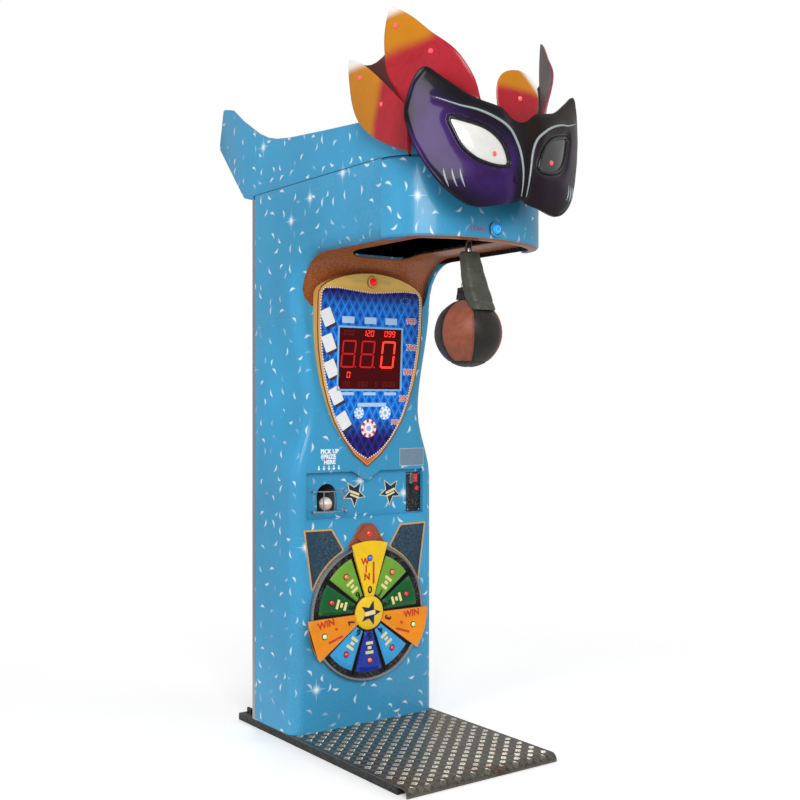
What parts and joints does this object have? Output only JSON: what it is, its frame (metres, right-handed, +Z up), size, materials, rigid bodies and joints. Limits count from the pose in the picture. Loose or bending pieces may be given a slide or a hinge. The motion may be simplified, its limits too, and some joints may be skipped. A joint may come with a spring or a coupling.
{
  "type": "boxing punch machine",
  "caption": "Arcade strength tester: waisted cabinet on a tread plate with a display and a prize wheel, and a ball that swings up into a masked overhead arm.",
  "frame": {"origin": "on the floor under the centre of the platform", "axes": "+Z up, -Y towards the player at the front, +X to the right as the player sees it"},
  "size_m": [0.7178, 1.4435, 2.413],
  "materials": {
    "black_steel": "satin black powder coat",
    "tread_plate": "bright tread plate, scuffed",
    "grey_rubber": "moulded rubber",
    "blue_gloss": "glossy sky blue moulding",
    "brown_gloss": "glossy brown",
    "aluminium": "brushed extrusion",
    "grey_back": "dark grey paint",
    "bare_steel": "bare steel",
    "chrome": "bright chrome",
    "dark_leather": "dark brown leather",
    "brown_leather": "worn brown leather",
    "solenoid_case": "zinc yellow",
    "black_plastic": "black plastic",
    "black_rubber": "rubber buffer",
    "gold_panel": "glossy panel with an orange border",
    "red_acrylic": "dark red acrylic",
    "red_lens": "red translucent",
    "grey_paint": "grey paint",
    "cream_plastic": "cream moulding",
    "capsule_plastic": "two-tone capsule shell",
    "dial_face": "many-coloured gloss",
    "yellow_gloss": "yellow gloss",
    "board_green": "green circuit board",
    "blue_lens": "blue translucent",
    "black_gloss": "glossy black",
    "feather_orange": "glossy orange to dark red"
  },
  "bodies": {
    "machine": {"base_frame": "black_steel", "tread_plate": "tread_plate", "left_rail": "black_steel", "right_rail": "black_steel", "pillar_casing": "blue_gloss", "arm_casing": "blue_gloss", "arm_nose": "blue_gloss", "cove_liner": "brown_gloss", "top_fairing": "blue_gloss", "left_trim": "aluminium", "right_trim": "aluminium", "rear_panel": "grey_back", "hinge_pin": "bare_steel", "mast": "black_steel", "arm_beam": "black_steel", "pivot_bracket": "black_steel", "left_bearing": "chrome", "right_bearing": "chrome", "latch_solenoid": "solenoid_case", "speed_sensor": "black_plastic", "bag_stop": "black_rubber", "display_shield": "gold_panel", "display_window": "red_acrylic", "led_module": "black_plastic", "console_panel": "blue_gloss", "coin_plate": "black_plastic", "coin_mech": "grey_paint", "prize_chute": "grey_paint", "prize_capsule": "capsule_plastic", "wire_guard": "chrome", "dial_ring": "bare_steel", "dial_face": "dial_face", "dial_hub": "yellow_gloss", "dial_pointer": "brown_gloss", "control_board": "board_green", "power_supply": "bare_steel", "power_inlet": "black_plastic", "mask_shell": "black_gloss", "left_tall_feather": "feather_orange", "right_tall_feather": "feather_orange", "left_low_feather": "feather_orange", "right_low_feather": "feather_orange", "centre_feather": "feather_orange"},
    "bag": {"pivot_shaft": "bare_steel", "latch_disc": "bare_steel", "swing_rod": "chrome", "rod_sleeve": "dark_leather", "ball_collar": "dark_leather", "punch_ball": "brown_leather"},
    "bolt": {"latch_bolt": "chrome"},
    "start_key": {"start_button": "blue_lens"},
    "select_key": {"select_button": "red_lens"},
    "reject_key": {"reject_button": "red_lens"},
    "return_flap": {"coin_flap": "black_plastic"},
    "door": {"back_door": "grey_back"},
    "lock": {"door_lock": "bare_steel"},
    "drawer": {"cash_box": "grey_paint"},
    "prize_wheel": {"dispenser_wheel": "cream_plastic"},
    "wheel_l": {"left_wheel": "grey_rubber"},
    "wheel_r": {"right_wheel": "grey_rubber"}
  },
  "joints": [
    {"name": "bag_swing", "type": "hinge", "parent": "machine", "child": "bag", "pos_m": [0, -0.45, 1.81], "axis": [1, 0, 0], "range_deg": [-5, 90]},
    {"name": "latch_travel", "type": "slide", "parent": "machine", "child": "bolt", "axis": [0, 0, -1], "range_m": [0, 0.01], "stiffness_N_per_m": 60, "springref_m": -0.004},
    {"name": "start_press", "type": "slide", "parent": "machine", "child": "start_key", "axis": [0, 1, 0], "range_m": [0, 0.004], "stiffness_N_per_m": 300, "springref_m": -0.001},
    {"name": "select_press", "type": "slide", "parent": "machine", "child": "select_key", "axis": [0, 1, 0], "range_m": [0, 0.003], "stiffness_N_per_m": 300, "springref_m": -0.001},
    {"name": "reject_press", "type": "slide", "parent": "machine", "child": "reject_key", "axis": [0, 1, 0], "range_m": [0, 0.004], "stiffness_N_per_m": 200, "springref_m": -0.001},
    {"name": "flap_swing", "type": "hinge", "parent": "machine", "child": "return_flap", "pos_m": [0.2245, 0.1522, 0.8334], "axis": [1, 0, 0], "range_deg": [0, 60]},
    {"name": "door_hinge", "type": "hinge", "parent": "machine", "child": "door", "pos_m": [-0.246, 0.4258, 0.91], "axis": [0, 0, 1], "range_deg": [0, 110]},
    {"name": "lock_turn", "type": "hinge", "parent": "door", "child": "lock", "pos_m": [0.2125, 0.413, 0.91], "axis": [0, 1, 0], "range_deg": [0, 90]},
    {"name": "drawer_slide", "type": "slide", "parent": "machine", "child": "drawer", "axis": [0, 1, 0], "range_m": [0, 0.19]},
    {"name": "prize_wheel_spin", "type": "hinge", "parent": "machine", "child": "prize_wheel", "pos_m": [-0.16, 0.2288, 0.92], "axis": [0, 0, 1], "continuous": true},
    {"name": "left_wheel_spin", "type": "hinge", "parent": "machine", "child": "wheel_l", "pos_m": [-0.25, 0.507, 0.033], "axis": [1, 0, 0], "continuous": true},
    {"name": "right_wheel_spin", "type": "hinge", "parent": "machine", "child": "wheel_r", "pos_m": [0.25, 0.507, 0.033], "axis": [1, 0, 0], "continuous": true}
  ]
}
